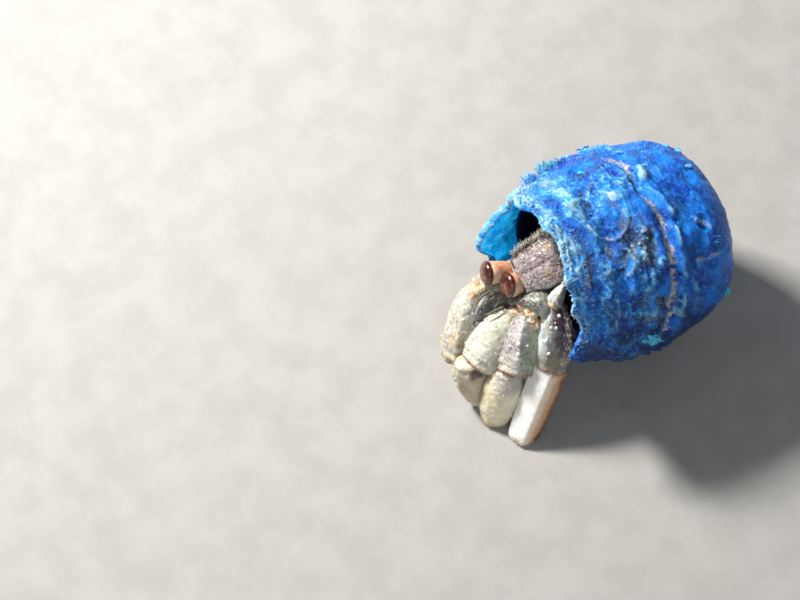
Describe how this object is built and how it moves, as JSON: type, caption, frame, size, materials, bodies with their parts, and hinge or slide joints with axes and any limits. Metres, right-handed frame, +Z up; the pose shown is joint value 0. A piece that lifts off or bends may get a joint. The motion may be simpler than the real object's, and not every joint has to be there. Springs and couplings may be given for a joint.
{
  "type": "land hermit crab living in a plastic cap",
  "caption": "Life-size land hermit crab crouching in the mouth of a worn, barrel-shaped blue plastic cap it wears as a shell, legs folded in a fan.",
  "frame": {"origin": "centre of the footprint, on the floor it rests on", "axes": "+Y to the rear of the cap, so the animal faces -Y; +X to the animal's left; +Z up"},
  "size_m": [0.0302, 0.0428, 0.0332],
  "materials": {
    "cap_plastic": "worn, scratched and dirty moulded plastic, bright and abraded at the rim",
    "shell_plates": "granular chitin, cream and grey-lilac with brown joints, satin",
    "eyestalk_shell": "smooth tan-orange chitin, satin",
    "eye_surface": "wet-looking dark red-brown cornea",
    "soft_skin": "soft wrinkled skin of the abdomen and joints",
    "feelers": "fine ringed feelers and pale bristles"
  },
  "bodies": {
    "root": {"abdomen_front": "soft_skin", "abdomen_middle": "soft_skin", "abdomen_rear": "soft_skin", "antenna_base_left": "shell_plates", "antenna_base_right": "shell_plates", "antenna_left": "feelers", "antenna_right": "feelers", "antennule_left": "feelers", "antennule_right": "feelers", "cap": "cap_plastic", "carapace_rear": "shell_plates", "claw_left_base": "shell_plates", "claw_left_carpus": "shell_plates", "claw_left_dactyl": "shell_plates", "claw_left_merus": "shell_plates", "claw_left_palm": "shell_plates", "claw_right_base": "shell_plates", "claw_right_carpus": "shell_plates", "claw_right_dactyl": "shell_plates", "claw_right_merus": "shell_plates", "claw_right_palm": "shell_plates", "cornea_left": "eye_surface", "cornea_right": "eye_surface", "eyestalk_left": "eyestalk_shell", "eyestalk_right": "eyestalk_shell", "leg_2_left_base": "shell_plates", "leg_2_left_carpus": "shell_plates", "leg_2_left_dactyl": "shell_plates", "leg_2_left_merus": "shell_plates", "leg_2_left_propodus": "shell_plates", "leg_2_right_base": "shell_plates", "leg_2_right_carpus": "shell_plates", "leg_2_right_dactyl": "shell_plates", "leg_2_right_merus": "shell_plates", "leg_2_right_propodus": "shell_plates", "leg_3_left_base": "shell_plates", "leg_3_left_carpus": "shell_plates", "leg_3_left_dactyl": "shell_plates", "leg_3_left_merus": "shell_plates", "leg_3_left_propodus": "shell_plates", "leg_3_right_base": "shell_plates", "leg_3_right_carpus": "shell_plates", "leg_3_right_dactyl": "shell_plates", "leg_3_right_merus": "shell_plates", "leg_3_right_propodus": "shell_plates", "leg_4_left": "shell_plates", "leg_4_right": "shell_plates", "leg_5_left": "shell_plates", "leg_5_right": "shell_plates", "maxilliped_left": "shell_plates", "maxilliped_right": "shell_plates", "shield": "shell_plates", "telson": "shell_plates", "thorax": "shell_plates", "uropod_left": "shell_plates", "uropod_right": "shell_plates"}
  },
  "joints": []
}
